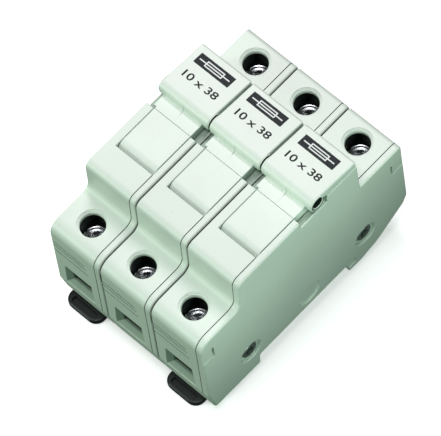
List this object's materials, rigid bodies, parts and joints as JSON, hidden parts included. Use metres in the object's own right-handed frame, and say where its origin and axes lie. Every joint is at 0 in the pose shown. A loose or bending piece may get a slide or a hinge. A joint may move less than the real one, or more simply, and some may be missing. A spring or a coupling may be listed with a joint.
{
  "type": "cartridge fuse holder",
  "caption": "DIN-rail holder for cylindrical cartridge fuses: side-by-side hinged fuse carriers, clamp-cage screw terminals at both ends and sprung rail clips.",
  "frame": {"origin": "centre of the rail slot's seating face, in the middle pole", "axes": "+Z away from the rail towards the handles; +Y along each pole from the sprung-clip end to the fixed-hook end; +X from pole to pole"},
  "size_m": [0.0538, 0.0784, 0.0542],
  "materials": {
    "body_plastic": "fine moulded grain",
    "carrier_plastic": "smooth moulded",
    "black_plastic": "fine moulded grain",
    "plated_steel": "zinc plated",
    "contact_brass": "bright stamped",
    "tinned_cap": "tinned",
    "ceramic": "glazed ceramic"
  },
  "bodies": {
    "holder": {"pole1_shell": "body_plastic", "pole1_side_cover": "body_plastic", "pole1_lower_contact": "contact_brass", "pole1_upper_contact": "contact_brass", "pole1_clip_spring": "plated_steel", "pole2_shell": "body_plastic", "pole2_side_cover": "body_plastic", "pole2_lower_contact": "contact_brass", "pole2_upper_contact": "contact_brass", "pole3_shell": "body_plastic", "pole3_side_cover": "body_plastic", "pole3_lower_contact": "contact_brass", "pole3_upper_contact": "contact_brass", "pole3_clip_spring": "plated_steel", "tie_rivet_lower": "plated_steel", "tie_rivet_upper": "plated_steel"},
    "pole1_carrier": {"pole1_carrier_left": "carrier_plastic", "pole1_carrier_right": "carrier_plastic", "pole1_fuse_tube": "ceramic", "pole1_fuse_cap_lower": "tinned_cap", "pole1_fuse_cap_upper": "tinned_cap"},
    "pole1_lower_screw_body": {"pole1_lower_screw": "plated_steel"},
    "pole1_lower_cage_body": {"pole1_lower_cage": "plated_steel"},
    "pole1_upper_screw_body": {"pole1_upper_screw": "plated_steel"},
    "pole1_upper_cage_body": {"pole1_upper_cage": "plated_steel"},
    "pole1_clip": {"pole1_rail_clip": "black_plastic"},
    "pole2_carrier": {"pole2_carrier_left": "carrier_plastic", "pole2_carrier_right": "carrier_plastic", "pole2_fuse_tube": "ceramic", "pole2_fuse_cap_lower": "tinned_cap", "pole2_fuse_cap_upper": "tinned_cap"},
    "pole2_lower_screw_body": {"pole2_lower_screw": "plated_steel"},
    "pole2_lower_cage_body": {"pole2_lower_cage": "plated_steel"},
    "pole2_upper_screw_body": {"pole2_upper_screw": "plated_steel"},
    "pole2_upper_cage_body": {"pole2_upper_cage": "plated_steel"},
    "pole3_carrier": {"pole3_carrier_left": "carrier_plastic", "pole3_carrier_right": "carrier_plastic", "pole3_fuse_tube": "ceramic", "pole3_fuse_cap_lower": "tinned_cap", "pole3_fuse_cap_upper": "tinned_cap"},
    "pole3_lower_screw_body": {"pole3_lower_screw": "plated_steel"},
    "pole3_lower_cage_body": {"pole3_lower_cage": "plated_steel"},
    "pole3_upper_screw_body": {"pole3_upper_screw": "plated_steel"},
    "pole3_upper_cage_body": {"pole3_upper_cage": "plated_steel"},
    "pole3_clip": {"pole3_rail_clip": "black_plastic"}
  },
  "joints": [
    {"name": "pole1_carrier_hinge", "type": "hinge", "parent": "holder", "child": "pole1_carrier", "pos_m": [-0.0177, -0.0102, 0.0415], "axis": [1, 0, 0], "range_deg": [0, 90]},
    {"name": "pole1_lower_screw_turn", "type": "hinge", "parent": "holder", "child": "pole1_lower_screw_body", "pos_m": [-0.0185, -0.0307, 0.0214], "axis": [0, 0, -1], "range_deg": [0, 2161]},
    {"name": "pole1_lower_cage_lift", "type": "slide", "parent": "holder", "child": "pole1_lower_cage_body", "axis": [0, 0, 1], "range_m": [0, 0.0048]},
    {"name": "pole1_upper_screw_turn", "type": "hinge", "parent": "holder", "child": "pole1_upper_screw_body", "pos_m": [-0.0185, 0.0307, 0.0214], "axis": [0, 0, -1], "range_deg": [0, 2161]},
    {"name": "pole1_upper_cage_lift", "type": "slide", "parent": "holder", "child": "pole1_upper_cage_body", "axis": [0, 0, 1], "range_m": [0, 0.0048]},
    {"name": "pole1_clip_pull", "type": "slide", "parent": "holder", "child": "pole1_clip", "axis": [0, -1, 0], "range_m": [0, 0.0035], "stiffness_N_per_m": 400, "springref_m": -0.002, "deforming": ["pole1_clip_spring"]},
    {"name": "pole2_carrier_hinge", "type": "hinge", "parent": "holder", "child": "pole2_carrier", "pos_m": [0.0003, -0.0102, 0.0415], "axis": [1, 0, 0], "range_deg": [0, 90]},
    {"name": "pole2_lower_screw_turn", "type": "hinge", "parent": "holder", "child": "pole2_lower_screw_body", "pos_m": [-0.0005, -0.0307, 0.0214], "axis": [0, 0, -1], "range_deg": [0, 2161]},
    {"name": "pole2_lower_cage_lift", "type": "slide", "parent": "holder", "child": "pole2_lower_cage_body", "axis": [0, 0, 1], "range_m": [0, 0.0048]},
    {"name": "pole2_upper_screw_turn", "type": "hinge", "parent": "holder", "child": "pole2_upper_screw_body", "pos_m": [-0.0005, 0.0307, 0.0214], "axis": [0, 0, -1], "range_deg": [0, 2161]},
    {"name": "pole2_upper_cage_lift", "type": "slide", "parent": "holder", "child": "pole2_upper_cage_body", "axis": [0, 0, 1], "range_m": [0, 0.0048]},
    {"name": "pole3_carrier_hinge", "type": "hinge", "parent": "holder", "child": "pole3_carrier", "pos_m": [0.0183, -0.0102, 0.0415], "axis": [1, 0, 0], "range_deg": [0, 90]},
    {"name": "pole3_lower_screw_turn", "type": "hinge", "parent": "holder", "child": "pole3_lower_screw_body", "pos_m": [0.0175, -0.0307, 0.0214], "axis": [0, 0, -1], "range_deg": [0, 2161]},
    {"name": "pole3_lower_cage_lift", "type": "slide", "parent": "holder", "child": "pole3_lower_cage_body", "axis": [0, 0, 1], "range_m": [0, 0.0048]},
    {"name": "pole3_upper_screw_turn", "type": "hinge", "parent": "holder", "child": "pole3_upper_screw_body", "pos_m": [0.0175, 0.0307, 0.0214], "axis": [0, 0, -1], "range_deg": [0, 2161]},
    {"name": "pole3_upper_cage_lift", "type": "slide", "parent": "holder", "child": "pole3_upper_cage_body", "axis": [0, 0, 1], "range_m": [0, 0.0048]},
    {"name": "pole3_clip_pull", "type": "slide", "parent": "holder", "child": "pole3_clip", "axis": [0, -1, 0], "range_m": [0, 0.0035], "stiffness_N_per_m": 400, "springref_m": -0.002, "deforming": ["pole3_clip_spring"]}
  ],
  "couplings": [
    {"joint": "pole1_lower_screw_turn", "follows": "pole1_lower_cage_lift", "rad_per_m": 7854},
    {"joint": "pole1_upper_screw_turn", "follows": "pole1_upper_cage_lift", "rad_per_m": 7854},
    {"joint": "pole2_lower_screw_turn", "follows": "pole2_lower_cage_lift", "rad_per_m": 7854},
    {"joint": "pole2_upper_screw_turn", "follows": "pole2_upper_cage_lift", "rad_per_m": 7854},
    {"joint": "pole3_lower_screw_turn", "follows": "pole3_lower_cage_lift", "rad_per_m": 7854},
    {"joint": "pole3_upper_screw_turn", "follows": "pole3_upper_cage_lift", "rad_per_m": 7854}
  ]
}
